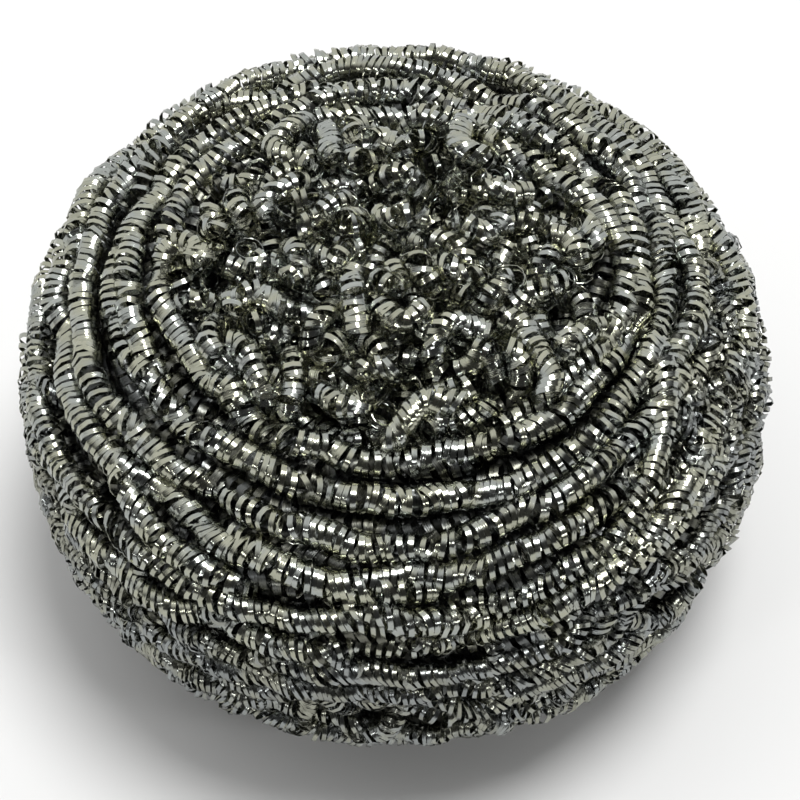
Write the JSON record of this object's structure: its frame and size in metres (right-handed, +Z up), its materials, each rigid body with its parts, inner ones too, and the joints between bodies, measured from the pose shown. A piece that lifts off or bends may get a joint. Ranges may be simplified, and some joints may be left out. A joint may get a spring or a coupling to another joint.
{
  "type": "stainless steel scourer",
  "caption": "Round kitchen scourer: a flat stainless steel ribbon curled into a springy strand and wound turn upon turn into a pad with a tangled crown.",
  "frame": {"origin": "middle of the flat spot that the pad rests on", "axes": "+Z up, along the axis that the strand is wound round; X and Y lie in the surface that it rests on"},
  "size_m": [0.0898, 0.0892, 0.0513],
  "materials": {
    "steel": "bright rolled ribbon with a warm grey cast"
  },
  "bodies": {
    "root": {"scourer": "steel"}
  },
  "joints": []
}
